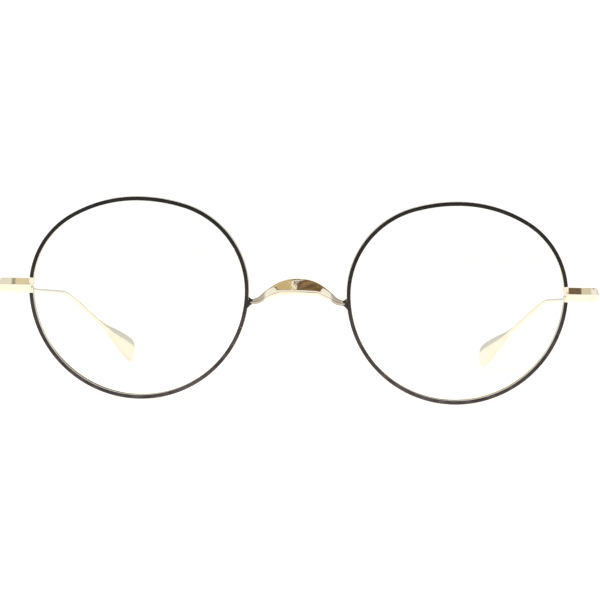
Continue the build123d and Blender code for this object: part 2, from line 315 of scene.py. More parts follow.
@dataclass(frozen=True)
class BrownLacquer:
    """Dark brown lacquer, baked on: slightly uneven, chipped in tiny spots, with a painted highlight
    that makes it lighter low down.
    """

    name: str = "brown_lacquer"
    dark: Colour = (0.004, 0.0025, 0.003, 1.0)
    pale: Colour = (0.013, 0.009, 0.009, 1.0)
    # painted highlight: lighter tones low down, standing in for the floor's reflection on the lower
    # rims; whole below the lower height, gone above the upper one
    painted_sheen_dark: Colour = (0.045, 0.033, 0.035, 1.0)
    painted_sheen_pale: Colour = (0.105, 0.083, 0.086, 1.0)
    painted_sheen_below: float = 0.003
    painted_sheen_above: float = 0.034
    painted_sheen_waver: float = 0.006
    waves: Grain = (420.0, 3.0)
    wave_tones: Steps = (0.35, 0.7)
    ripple: Grain = (2400.0, 2.0)
    chips: Grain = (1900.0, 3.0)
    chip_edge: Steps = (0.735, 0.76)
    bare: Colour = (0.93, 0.88, 0.75, 1.0)
    foot_inner: float = 0.0
    foot_outer: float = 0.0
    foot_waver: float = 0.0006
    gloss_coat: float = 0.22
    dull: float = 0.3
    dull_range: float = 0.16

    def make(self) -> bpy.types.Material:
        """Build the material; with a foot range it fades to bare gold towards the bridge.

        Returns:
            The material.
        """
        material, board = blank(self.name)
        waves = board.noise(*self.waves)
        ripple = board.noise(*self.ripple)
        chips = board.noise(*self.chips).rise(*self.chip_edge)
        coat = 1.0 - chips
        if self.foot_outer:
            across = board.axes(board.place())[0].size() + (ripple - 0.5) * self.foot_waver
            coat = coat * across.rise(self.foot_inner, self.foot_outer)
        uneven = waves.rise(*self.wave_tones)
        # painted highlight: the tone turns lighter towards the bottom, standing in for the floor's
        # reflection on the lower rims
        height = board.axes(board.place())[2] + (waves - 0.5) * self.painted_sheen_waver
        tone = board.blend(
            height.rise(self.painted_sheen_above, self.painted_sheen_below),
            board.blend(uneven, self.dark, self.pale),
            board.blend(uneven, self.painted_sheen_dark, self.painted_sheen_pale),
        )
        shader = board.principled(
            Base_Color=board.blend(coat, self.bare, tone),
            Metallic=1.0 - coat,
            Roughness=self.dull + (waves - 0.5) * self.dull_range,
            Coat_Weight=coat * self.gloss_coat,
            Coat_Roughness=0.08,
            Specular_IOR_Level=0.16,
            Normal=board.bump(ripple + waves, 0.25, 0.03 * MM),
        )
        board.finish(shader)
        return material


@dataclass(frozen=True)
class TurnedSteel:
    """The small screws: turned steel with a faint gold wash."""

    name: str = "turned_steel"
    light: Colour = (0.84, 0.79, 0.68, 1.0)
    deep: Colour = (0.66, 0.61, 0.5, 1.0)
    smooth: float = 0.2
    worn: float = 0.16
    rings: Grain = (9000.0, 2.0)
    turning: tuple[float, float, float] = (1.0, 1.0, 0.12)
    tone_shift: Grain = (900.0, 3.0)
    tone_shift_tones: Steps = (0.35, 0.7)

    def make(self) -> bpy.types.Material:
        """Build the material.

        Returns:
            The material.
        """
        material, board = blank(self.name)
        rings = board.noise(*self.rings, self.turning)
        tone_shift = board.noise(*self.tone_shift)
        shader = board.principled(
            Base_Color=board.blend(tone_shift.rise(*self.tone_shift_tones), self.light, self.deep),
            Metallic=1.0,
            Roughness=self.smooth + tone_shift * self.worn,
            Normal=board.bump(rings, 0.2, 0.02 * MM),
        )
        board.finish(shader)
        return material


@dataclass(frozen=True)
class ClearLens:
    """Plano demonstration lens: nearly invisible, with a faint gloss at a slant."""

    name: str = "clear_lens"
    tint: Colour = (0.985, 0.99, 0.985, 1.0)
    gloss_tone: Colour = (0.9, 0.93, 0.92, 1.0)
    gloss_index: float = 1.12
    smears: Grain = (60.0, 3.0)
    smooth: float = 0.03
    smear_dulling: float = 0.04

    def make(self) -> bpy.types.Material:
        """Build the material.

        Returns:
            The material.
        """
        material, board = blank(self.name)
        smear = board.noise(*self.smears)
        clear = board.node("ShaderNodeBsdfTransparent", None, {"Color": self.tint})
        gloss = board.principled(
            Base_Color=self.gloss_tone,
            Roughness=self.smooth + smear * self.smear_dulling,
            Specular_IOR_Level=0.5,
        )
        fresnel = board.node("ShaderNodeFresnel", None, {"IOR": self.gloss_index})
        shader = board.node(
            "ShaderNodeMixShader",
            None,
            {0: fresnel.outputs[0], 1: clear.outputs[0], 2: gloss.outputs[0]},
        )
        board.finish(shader)
        return material


@dataclass(frozen=True)
class PaleFloor:
    """Plain pale table top, lit faintly from within like a light table."""

    name: str = "pale_floor"
    colour: Colour = (0.93, 0.93, 0.93, 1.0)
    lighter: Colour = (0.95, 0.95, 0.95, 1.0)
    glow: float = 0.5

    def make(self) -> bpy.types.Material:
        """Build the material.

        Returns:
            The material.
        """
        material, board = blank(self.name)
        shader = board.principled(
            Base_Color=board.blend(board.noise(3.0), self.colour, self.lighter),
            Roughness=0.9,
            Specular_IOR_Level=0.1,
            Emission_Color=WHITE,
            Emission_Strength=self.glow,
        )
        board.finish(shader)
        return material


# --- Shaping --------------------------------------------------------------------------------


class Bench:
    """The modelling steps that the pieces share, all on the active object."""

    @staticmethod
    def loop(name: str, points: Sequence[Vector]) -> bpy.types.Object:
        """Add a circle and set its corners out as a closed outline.

        Args:
            name: name of the new piece.
            points: corners of the outline, in millimetres.

        Returns:
            The new object, in edit mode with all of it selected.
        """
        bpy.ops.object.select_all(action="DESELECT")
        bpy.ops.mesh.primitive_circle_add(vertices=len(points), radius=1.0, fill_type="NOTHING")
        piece = bpy.context.object
        piece.name = name
        piece.data.name = name
        for corner, point in zip(piece.data.vertices, points):
            corner.co = point
        bpy.ops.object.mode_set(mode="EDIT")
        bpy.ops.mesh.select_all(action="SELECT")
        return piece

    @staticmethod
    def loft(name: str, rings: Sequence[Sequence[Vector]]) -> bpy.types.Object:
        """Extrude a closed outline through a row of rings and cap both ends.

        Args:
            name: name of the new piece.
            rings: outlines of equal length, one after another.

        Returns:
            The new object, in edit mode.
        """
        piece = Bench.loop(name, rings[0])
        for before, after in zip(rings, rings[1:]):
            bpy.ops.mesh.extrude_edges_move()
            Bench.set_ring(piece, before, after)
        return Bench.capped(piece)

    @staticmethod
    def set_ring(piece: bpy.types.Object, before: Sequence[Vector], after: Sequence[Vector]) -> None:
        """Move the selected ring from its old corners to its new ones.

        Args:
            piece: the piece, in edit mode.
            before: the ring's corners now.
            after: where they go, in the same order.
        """
        places = {Bench._key(old): new for old, new in zip(before, after)}
        mesh = bmesh.from_edit_mesh(piece.data)
        for corner in mesh.verts:
            if corner.select:
                corner.co = places[Bench._key(corner.co)]
        bmesh.update_edit_mesh(piece.data)

    @staticmethod
    def _key(point: Vector) -> tuple[int, ...]:
        """A corner's place to a ten thousandth of a millimetre."""
        return tuple(round(value * 10000) for value in point)

    @staticmethod
    def capped(piece: bpy.types.Object) -> bpy.types.Object:
        """Close the open ends of a tube and turn its faces outwards.

        Args:
            piece: the tube, in edit mode.

        Returns:
            The same piece, still in edit mode.
        """
        bpy.ops.mesh.select_all(action="SELECT")
        bpy.ops.mesh.fill_holes(sides=0)
        bpy.ops.mesh.select_all(action="SELECT")
        bpy.ops.mesh.normals_make_consistent(inside=False)
        return piece

    @staticmethod
    def bevel(piece: bpy.types.Object, width: float, segments: int, limit: float) -> None:
        """Round the edges that are sharper than a limit.

        Args:
            piece: the piece, in edit or object mode.
            width: width of the rounding.
            segments: faces across it.
            limit: least angle between faces that is rounded, in degrees.
        """
        Bench.lay_down()
        rounding = piece.modifiers.new("rounding", "BEVEL")
        rounding.width = width
        rounding.segments = segments
        rounding.limit_method = "ANGLE"
        rounding.angle_limit = radians(limit)
        rounding.use_clamp_overlap = True
        bpy.ops.object.modifier_apply(modifier=rounding.name)

    @staticmethod
    def smooth(piece: bpy.types.Object, angle: float) -> None:
        """Shade smooth across edges flatter than an angle, weighted by face size.

        Args:
            piece: the finished piece, in object mode and where it stays.
            angle: the greatest angle that is smoothed, in degrees.
        """
        bpy.ops.object.shade_smooth_by_angle(angle=radians(angle))
        weights = piece.modifiers.new("weights", "WEIGHTED_NORMAL")
        weights.keep_sharp = True
        bpy.ops.object.modifier_apply(modifier=weights.name)

    @staticmethod
    def lay_down() -> None:
        """Leave edit mode."""
        if bpy.context.mode != "OBJECT":
            bpy.ops.object.mode_set(mode="OBJECT")

    @staticmethod
    def seat(piece: bpy.types.Object, placing: Matrix, side: Side, angle: float) -> None:
        """Move a piece to where the frame stands, in metres, apply its place and smooth it.

        Args:
            piece: the piece, in edit or object mode, made for the left side.
            placing: from millimetres as modelled to metres as it stands.
            side: the right side is mirrored across the nose.
            angle: the greatest angle that is smoothed, in degrees.
        """
        Bench.lay_down()
        piece.matrix_world = Matrix.Diagonal((side.value, 1, 1, 1)) @ placing
        bpy.ops.object.transform_apply(location=True, rotation=True, scale=True)
        if side is Side.RIGHT:
            Bench.outwards()
        Bench.smooth(piece, angle)

    @staticmethod
    def outwards() -> None:
        """Turn the faces of the active piece, which is closed, outwards."""
        bpy.ops.object.mode_set(mode="EDIT")
        bpy.ops.mesh.select_all(action="SELECT")
        bpy.ops.mesh.normals_make_consistent(inside=False)
        bpy.ops.object.mode_set(mode="OBJECT")

    @staticmethod
    def dress(
        piece: bpy.types.Object, material: bpy.types.Material, body: str, slot: str, *nodes: str
    ) -> None:
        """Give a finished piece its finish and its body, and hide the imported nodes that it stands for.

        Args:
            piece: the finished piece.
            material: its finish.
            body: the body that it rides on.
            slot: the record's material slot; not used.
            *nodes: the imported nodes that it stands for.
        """
        piece.data.materials.clear()
        piece.data.materials.append(material)
        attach(piece, body)
        if nodes:
            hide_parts(*nodes)
        log.info("%s: %d faces, rides on %s", piece.name, len(piece.data.polygons), body)


# --- Driving shapes -------------------------------------------------------------------------


@dataclass(frozen=True)
class Arc:
    """Part of a circle in the eyewire's plane, angles in degrees."""

    centre: tuple[float, float]
    radius: float
    start: float
    sweep: float

    def point(self, angle: float, grow: float = 0.0, forward: float = 0.0) -> Vector:
        """A point on the arc, grown outwards and moved forwards.

        Args:
            angle: where on the circle, in degrees.
            grow: added to the radius.
            forward: distance in front of the eyewire's plane.

        Returns:
            The point in the eyewire's plane.
        """
        reach = self.radius + grow
        across = self.centre[0] + reach * cos(radians(angle))
        up = self.centre[1] + reach * sin(radians(angle))
        return Vector((across, up, forward))


@dataclass(frozen=True)
class RimLine:
    """Centre line of one eyewire: five arcs that run into each other."""

    lens_width: float = 48.0
    box_difference: float = 4.0
    temple_corner_step: float = 1.5
    nasal_corner_step: float = 0.7

    @property
    def height(self) -> float:
        """Height of the lens."""
        return self.lens_width - self.box_difference

    @property
    def side_radius(self) -> float:
        """Radius of the lower half."""
        return self.lens_width / 2

    @property
    def side_centre(self) -> float:
        """Height of the lower half's centre above the middle of the lens."""
        return self.side_radius - self.height / 2

    def _brow(self, corner: float) -> tuple[float, float]:
        """Find the brow arc that runs into a corner arc.

        Args:
            corner: radius of the corner arc.

        Returns:
            The brow arc's radius, and the corner's sweep in degrees.
        """
        rise = self.height / 2 - self.side_centre
        above = rise - corner
        beside = self.side_radius - corner
        radius = corner + (above**2 + beside**2) / (2 * above)
        return radius, degrees(atan((radius - rise) / beside))

    def arcs(self, first: float, last: float) -> list[Arc]:
        """Run from the temple side over the brow and round underneath to the temple side.

        Args:
            first: height of the start above the middle of the lens.
            last: height of the end, below the start.

        Returns:
            The arcs in order.
        """
        rise = self.height / 2 - self.side_centre
        temple = rise - self.temple_corner_step
        nasal = rise - self.nasal_corner_step
        temple_brow, temple_sweep = self._brow(temple)
        nasal_brow, nasal_sweep = self._brow(nasal)
        begin = degrees(asin((first - self.side_centre) / temple))
        finish = degrees(asin((last - self.side_centre) / self.side_radius))
        centre = self.side_centre
        return [
            Arc((self.side_radius - temple, centre), temple, begin, temple_sweep - begin),
            Arc((0, self.height / 2 - temple_brow), temple_brow, temple_sweep, 90 - temple_sweep),
            Arc((0, self.height / 2 - nasal_brow), nasal_brow, 90, 90 - nasal_sweep),
            Arc((nasal - self.side_radius, centre), nasal, 180 - nasal_sweep, nasal_sweep),
            Arc((0, centre), self.side_radius, 180, 180 + min(finish, 0.0)),
        ]

    def outline(self, grow: float, forward: float, step: float) -> list[Vector]:
        """Closed outline, grown outwards from the centre line.

        Args:
            grow: how far outside the centre line.
            forward: height in front of the eyewire's plane.
            step: degrees between corners.

        Returns:
            The outline's corners.
        """
        corners = []
        for arc in self.arcs(self.side_centre, self.side_centre):
            count = max(2, round(arc.sweep / step))
            for index in range(count):
                corners.append(arc.point(arc.start + arc.sweep * index / count, grow, forward))
        return corners


@dataclass(frozen=True)
class Fitting:
    """Where everything sits as worn, and how the worn frame stands on the table."""

    line: RimLine = RimLine()
    lens_gap: float = 22.0
    wrap: float = 4.5
    pantoscopic_tilt: float = 8.0
    eyewire_width: float = 0.9
    eyewire_depth: float = 1.7
    lock_rise: float = 2.5
    endpiece_reach: float = 7.05
    bar_height: float = 3.0
    bar_thickness: float = 1.2
    bar_edge: float = 0.8
    hinge_depth: float = 5.6
    leaf_thickness: float = 0.35
    leaf_clearance: float = 0.12
    knuckle_radius: float = 1.05
    butt_gap: float = 0.06

    @property
    def rim_place(self) -> Matrix:
        """The left eyewire's plane: x to the temple, y up, z forwards.

        Returns:
            From the eyewire's plane to the worn frame.
        """
        turn, tilt = radians(self.wrap), radians(self.pantoscopic_tilt)
        forward = Vector((sin(turn), -cos(turn) * cos(tilt), -cos(turn) * sin(tilt)))
        up = forward.cross(Vector((cos(turn), sin(turn), 0))).normalized()
        across = up.cross(forward)
        columns = Matrix((across, up, forward)).transposed().to_4x4()
        centre = (self.lens_gap + self.line.lens_width) / 2
        return Matrix.Translation((centre, 0, 0)) @ columns

    @property
    def outer_radius(self) -> float:
        """Radius of the eyewire's outer face along its lower half."""
        return self.line.side_radius + self.eyewire_width / 2

    def wall(self, height: float, side: int) -> Vector:
        """Point on the eyewire's outer face at a height, worn; side 1 is the temple's."""
        across = sqrt(self.outer_radius**2 - (height - self.line.side_centre) ** 2)
        return self.rim_place @ Vector((side * across, height, 0))

    @property
    def lock_point(self) -> Vector:
        """Where the endpiece meets the eyewire."""
        return self.wall(self.lock_rise, 1)

    @property
    def bar_centre(self) -> float:
        """Depth of the endpiece's centre line."""
        return self.lock_point.y - self.eyewire_depth / 2 + self.bar_thickness / 2

    @property
    def bar_side(self) -> float:
        """Centre line of the endpiece's rear arm and of the temple's butt."""
        return self.lock_point.x + self.endpiece_reach - self.bar_thickness / 2

    @property
    def hinge(self) -> Vector:
        """Middle of the left hinge's axis.

        Returns:
            The point on the worn frame.
        """
        inside = self.bar_side - self.bar_thickness / 2 - self.leaf_thickness
        across = inside - self.leaf_clearance - self.knuckle_radius
        return Vector((across, self.bar_centre + self.hinge_depth, self.lock_point.z))

    def standing(self, record: dict[str, Any]) -> Matrix:
        """From the worn frame in millimetres to the standing one in metres.

        Args:
            record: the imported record, whose left hinge says where the frame stands.

        Returns:
            The placing.
        """
        joints = {joint["name"]: joint for joint in record["behaviour"]["joints"]}
        fold = joints["left_temple_fold"]
        axis = Vector(fold["axis"]).normalized()
        lean = Matrix.Rotation(-atan(axis.y / axis.z), 4, "X")
        shift = Vector(fold["pos_m"]) - lean @ (self.hinge * MM)
        return Matrix.Translation(shift) @ lean @ Matrix.Scale(MM, 4)


def spread(low: float, high: float, count: int) -> list[float]:
    """Evenly spaced values, both ends included."""
    return [low + (high - low) * index / (count - 1) for index in range(count)]


def soften(share: float) -> float:
    """Smooth step from 0 to 1."""
    return share * share * (3 - 2 * share)


def between(first: float, last: float, share: float) -> float:
    """A value on the way from first to last."""
    return first + (last - first) * share


def signed_power(value: float, power: float) -> float:
    """Power that keeps the sign."""
    return abs(value) ** power * (1 if value >= 0 else -1)


# --- Eyewire, lacquer and lens --------------------------------------------------------------


@dataclass
class Rim:
    """One eyewire with the lacquer on its front and the lens in its groove."""

    fit: Fitting
    standing: Matrix
    side: Side
    groove_width: float = 0.9
    groove_depth: float = 0.33
    lacquer_width: float = 0.84
    lacquer_rise: float = 0.2
    lacquer_crown: float = 0.19
    crown_roundness: float = 0.8
    lacquer_gap: float = 3.4
    split: float = 0.16
    lens_curve: float = 131.0
    lens_thickness: float = 1.4
    lens_clearance: float = 0.03
    lens_polish: float = 0.01
    middle: float = 0.02
    polished_edge: float = 0.07
    step: float = 2.0

    @property
    def placing(self) -> Matrix:
        """From the eyewire's plane to the table."""
        return self.standing @ self.fit.rim_place

    @property
    def land(self) -> float:
        """Height of the eyewire's flat front."""
        return self.fit.eyewire_depth / 2 - self.lacquer_rise

    def _turned(self, name: str, profile: Sequence[tuple[float, float]], gap: float) -> bpy.types.Object:
        """Spin a profile along the rim line, with a gap at the lock.

        Args:
            name: name of the new piece.
            profile: corners as distance outwards and distance forwards.
            gap: height left open at the lock.

        Returns:
            The new piece, in edit mode.
        """
        middle = self.fit.lock_rise
        arcs = self.fit.line.arcs(middle + gap / 2, middle - gap / 2)
        first = arcs[0]
        points = [first.point(first.start, grow, forward) for grow, forward in profile]
        piece = Bench.loop(name, points)
        for arc in arcs:
            steps = max(2, round(arc.sweep / self.step))
            bpy.ops.mesh.spin(
                steps=steps,
                angle=-radians(arc.sweep),
                center=(*arc.centre, 0.0),
                axis=(0.0, 0.0, 1.0),
            )
        return Bench.capped(piece)

    def eyewire(self, gold: bpy.types.Material) -> None:
        """Make the grooved wire, rounded along its edges.

        Args:
            gold: its finish.
        """
        half_width = self.fit.eyewire_width / 2
        half_depth = self.fit.eyewire_depth / 2
        profile = [
            (-half_width, -half_depth),
            (half_width, -half_depth),
            (half_width, self.land),
            (-half_width, self.land),
            (-half_width, self.groove_width / 2),
            (self.groove_depth - half_width, 0.0),
            (-half_width, -self.groove_width / 2),
        ]
        piece = self._turned(f"{self.side.label}_eyewire_wire", profile, self.split)
        Bench.bevel(piece, self.polished_edge, segments=3, limit=40)
        Bench.seat(piece, self.placing, self.side, angle=50)
        Bench.dress(piece, gold, "front", "pale_gold", f"{self.side.label}_eyewire")

    def lacquer(self, brown: bpy.types.Material) -> None:
        """Make the crowned strip of lacquer, square cut beside the endpiece.

        Args:
            brown: its finish.
        """
        half = self.lacquer_width / 2
        crown = [
            (-half * cos(angle), self.land + self.lacquer_crown * sin(angle) ** self.crown_roundness)
            for angle in spread(0.0, pi, count=15)
        ]
        crown += [(half * share, self.land) for share in (0.5, 0.0, -0.5)]
        piece = self._turned(f"{self.side.label}_rim_lacquer", crown, self.lacquer_gap)
        Bench.seat(piece, self.placing, self.side, angle=40)
        Bench.dress(piece, brown, "front", "enamel", f"{self.side.label}_rim_enamel")

    def _sag(self, point: Vector, offset: float) -> float:
        """Height of a lens surface in front of the eyewire's plane."""
        hollow = sqrt(self.lens_curve**2 - self.fit.line.side_radius**2)
        return sqrt((self.lens_curve + offset) ** 2 - point.x**2 - point.y**2) - hollow

    def lens(self, clear: bpy.types.Material) -> None:
        """Loft the bevelled shell from the middle of its front round to the middle of its back.

        Args:
            clear: its finish.
        """
        edge = -self.fit.eyewire_width / 2 - self.lens_clearance
        line = self.fit.line
        rim = line.outline(edge, 0.0, self.step)
        apex = line.outline(edge + self.groove_depth, 0.0, self.step)
        shares = [self.middle] + spread(0.12, 1.0, count=12)
        front = self.lens_thickness / 2 - self.lens_polish
        rings = [self._surface(rim, share, front) for share in shares]
        rings.append([Vector((p.x, p.y, self.groove_width / 2)) for p in rim])
        rings.append(apex)
        rings.append([Vector((p.x, p.y, -self.groove_width / 2)) for p in rim])
        rings += [self._surface(rim, share, -self.lens_thickness / 2) for share in reversed(shares)]
        piece = Bench.loft(f"{self.side.label}_clear_lens", rings)
        Bench.seat(piece, self.placing, self.side, angle=30)
        Bench.dress(piece, clear, "front", "lens", f"{self.side.label}_lens")

    def _surface(self, rim: Sequence[Vector], share: float, offset: float) -> list[Vector]:
        """One ring of a lens surface, shrunk towards the middle."""
        flat = [point * share for point in rim]
        return [Vector((p.x, p.y, self._sag(p, offset))) for p in flat]


# --- Endpiece -------------------------------------------------------------------------------


@dataclass
class Endpiece:
    """The ridged bar from the eyewire round the corner to the hinge."""

    fit: Fitting
    standing: Matrix
    side: Side
    overlap: float = 0.42
    cover: float = 0.14
    seat_gap: float = 0.05
    block_length: float = 2.7
    shoulder_sweep: float = 22.0
    bend_radius: float = 1.6
    polished_edge: float = 0.07

    def _section(self, across: float, edge: float, lean: float = 0.0) -> list[Vector]:
        """Corners of the bar's section on the front.

        Args:
            across: where the section stands.
            edge: thickness along the upper and lower edges.
            lean: how far the upper edge stands forward, and the lower one back.

        Returns:
            The corners.
        """
        fit = self.fit
        half_height = fit.bar_height / 2
        back = fit.bar_centre + fit.bar_thickness / 2
        ridge = fit.bar_centre - fit.bar_thickness / 2
        corners = [
            (back, -half_height),
            (back - edge + lean, -half_height),
            (ridge, 0.0),
            (back - edge - lean, half_height),
            (back, half_height),
        ]
        return [Vector((across, depth, fit.lock_point.z + up)) for depth, up in corners]

    def bar(self, gold: bpy.types.Material) -> None:
        """Extrude along the front, spin the shoulder and the bend, extrude to the hinge.

        Args:
            gold: its finish.
        """
        fit = self.fit
        height = fit.lock_point.z
        lean = tan(radians(fit.pantoscopic_tilt)) * fit.bar_height / 2
        cap = self._section(fit.lock_point.x - self.overlap, fit.bar_thickness - self.cover, lean)
        wall = self._section(fit.lock_point.x + self.seat_gap, fit.bar_edge)
        piece = Bench.loop(f"{self.side.label}_endpiece_bar", cap)
        bpy.ops.mesh.extrude_edges_move()
        Bench.set_ring(piece, cap, wall)
        bpy.ops.mesh.extrude_edges_move(
            TRANSFORM_OT_translate={"value": (self.block_length, 0.0, 0.0)}
        )
        turned = radians(self.shoulder_sweep)
        shoulder_start = fit.lock_point.x + self.seat_gap + self.block_length
        run = fit.bar_side - shoulder_start - self.bend_radius * (1 - sin(turned))
        radius = run / sin(turned)
        shoulder = Vector((shoulder_start, fit.bar_centre + radius, height))
        bpy.ops.mesh.spin(steps=6, angle=-turned, center=shoulder, axis=(0.0, 0.0, 1.0))
        inwards = Vector((sin(turned), -cos(turned), 0.0))
        bend = shoulder + (radius - self.bend_radius) * inwards
        bpy.ops.mesh.spin(steps=12, angle=turned - pi / 2, center=bend, axis=(0.0, 0.0, 1.0))
        rear = fit.hinge.y - fit.butt_gap / 2 - bend.y
        bpy.ops.mesh.extrude_edges_move(TRANSFORM_OT_translate={"value": (0.0, rear, 0.0)})
        Bench.capped(piece)
        Bench.bevel(piece, self.polished_edge, segments=3, limit=14)
        Bench.seat(piece, self.standing, self.side, angle=35)
        Bench.dress(piece, gold, "front", "pale_gold", f"{self.side.label}_endpiece")


# --- Temple ---------------------------------------------------------------------------------


@dataclass
class Temple:
    """Faceted butt, tapering wire, ear bend and paddle, in one."""

    fit: Fitting
    standing: Matrix
    side: Side
    butt_length: float = 5.0
    taper_length: float = 38.0
    taper_drop: float = 0.8
    taper_edge: float = 0.3
    polished_edge: float = 0.045
    melt_from: float = 0.35
    wire_radius: float = 0.5
    bar_to_bend: float = 90.0
    inward_run: float = 3.2
    ear_length: float = 49.0
    ear_drop: float = 16.6
    ear_inward: float = 14.0
    ear_radius: float = 36.0
    paddle_length: float = 29.0
    paddle_width: float = 6.6
    paddle_thickness: float = 1.0

    @property
    def start(self) -> Vector:
        """Middle of the butt's end face."""
        fit = self.fit
        return Vector((fit.bar_side, fit.hinge.y + fit.butt_gap / 2, fit.lock_point.z))

    @property
    def butt_end(self) -> Vector:
        """Where the butt ends and the taper begins."""
        return self.start + Vector((0, self.butt_length, 0))

    @property
    def corner(self) -> Vector:
        """Corner that the ear bend rounds."""
        return self.start + Vector((-self.inward_run, self.bar_to_bend, 0.0))

    @property
    def run(self) -> Vector:
        """Direction of the wire."""
        return (self.corner - self.butt_end).normalized()

    @property
    def ear(self) -> Vector:
        """Direction behind the ear."""
        back = sqrt(self.ear_length**2 - self.ear_drop**2 - self.ear_inward**2)
        return Vector((-self.ear_inward, back, -self.ear_drop)).normalized()

    @property
    def turn(self) -> float:
        """How far the ear bend turns, in radians."""
        return self.run.angle(self.ear)

    @property
    def straight(self) -> float:
        """Length of the centre line from the end of the butt to the ear bend."""
        return (self.corner - self.butt_end).length - self.ear_radius * tan(self.turn / 2)

    @property
    def reach(self) -> float:
        """Length of the centre line from the end of the butt to the tip."""
        behind = self.ear_length - self.ear_radius * tan(self.turn / 2)
        return self.straight + self.ear_radius * self.turn + behind

    def _route(self, travel: float) -> tuple[Vector, Vector]:
        """Place and direction of the centre line.

        Args:
            travel: distance from the end of the butt.

        Returns:
            The point and the unit tangent.
        """
        straight, turn = self.straight, self.turn
        dropped = Vector((0, 0, self.taper_drop * min(1.0, travel / self.taper_length)))
        if travel <= straight:
            return self.butt_end + self.run * travel - dropped, self.run
        bend = min((travel - straight) / self.ear_radius, turn)
        sideways = (self.ear - self.run * cos(turn)).normalized()
        place = self.butt_end + self.run * straight
        place += self.ear_radius * (sin(bend) * self.run + (1 - cos(bend)) * sideways)
        direction = self.run * cos(bend) + sideways * sin(bend)
        place += direction * max(0.0, travel - straight - self.ear_radius * turn)
        return place - dropped, direction

    def _facets(self, share: float) -> list[Vector]:
        """The butt's section, melting into the round wire.

        Args:
            share: 0 at the butt, 1 at the wire.

        Returns:
            Corners as distance outwards and height.
        """
        fit = self.fit
        half_height = between(fit.bar_height / 2, self.wire_radius, share)
        half_thick = between(fit.bar_thickness / 2, self.wire_radius, share)
        edge = between(fit.bar_edge - fit.bar_thickness / 2, self.taper_edge, share)
        corners = [
            Vector((-half_thick, -half_height)),
            Vector((edge, -half_height)),
            Vector((half_thick, 0.0)),
            Vector((edge, half_height)),
            Vector((-half_thick, half_height)),
        ]
        points = []
        for here, there in zip(corners, corners[1:] + corners[:1]):
            inset = min(0.45, self.polished_edge / (there - here).length)
            for along in (inset, 0.25, 0.5, 0.75, 1 - inset):
                points.append(here.lerp(there, along))
        melt = soften(max(0.0, share - self.melt_from) / (1 - self.melt_from))
        return [point.lerp(point.normalized() * self.wire_radius, melt) for point in points]

    def _paddle(self, travel: float) -> tuple[float, float]:
        """Shape the wire or the paddle at a place along it.

        Args:
            travel: distance from the end of the butt.

        Returns:
            Half the width and half the thickness.
        """
        along = self.paddle_length - (self.reach - travel)
        radius = self.paddle_width / 2
        full = self.paddle_length - radius
        if along <= 0:
            return self.wire_radius, self.wire_radius
        if along <= full:
            half_width = between(self.wire_radius, radius, soften(along / full))
        else:
            half_width = sqrt(max(0.0, radius**2 - (along - full) ** 2))
        thick = self.paddle_thickness / 2
        if along > full:
            thick *= sqrt(max(0.0, 1 - ((along - full) / radius) ** 4))
        return half_width, thick

    def _ring(self, travel: float, section: Iterable[Vector]) -> list[Vector]:
        """Stand a section on the centre line, its height kept upright.

        Args:
            travel: distance from the end of the butt.
            section: corners as distance outwards and height.

        Returns:
            The corners of the ring.
        """
        place, direction = self._route(travel)
        outwards = direction.cross(Vector((0, 0, 1))).normalized()
        upwards = outwards.cross(direction)
        return [place + outwards * point.x + upwards * point.y for point in section]

    def make(self, gold: bpy.types.Material) -> None:
        """Loft the whole temple.

        Args:
            gold: its finish.
        """
        round_section = [point.normalized() for point in self._facets(1.0)]
        rings = []
        for share in spread(0.0, 1.0, count=4):
            slide = Vector((0, share * self.butt_length, 0))
            rings.append([
                self.start + slide + Vector((point.x, 0, point.y)) for point in self._facets(0.0)
            ])
        for share in spread(0.0, 1.0, count=26)[1:]:
            rings.append(self._ring(share * self.taper_length, self._facets(share)))
        fine = self.reach - self.paddle_width / 2
        travels = spread(self.taper_length, fine, count=70)[1:]
        travels += [fine + self.paddle_width / 2 * sin(angle) for angle in spread(0.1, 1.5, count=14)]
        for travel in travels:
            wide, thick = self._paddle(travel)
            section = [Vector((point.x * thick, point.y * wide)) for point in round_section]
            rings.append(self._ring(travel, section))
        piece = Bench.loft(f"{self.side.label}_temple_arm", rings)
        Bench.seat(piece, self.standing, self.side, angle=60)
        body = f"{self.side.label}_temple"
        Bench.dress(piece, gold, body, "pale_gold", body)


# --- Saddle bridge --------------------------------------------------------------------------


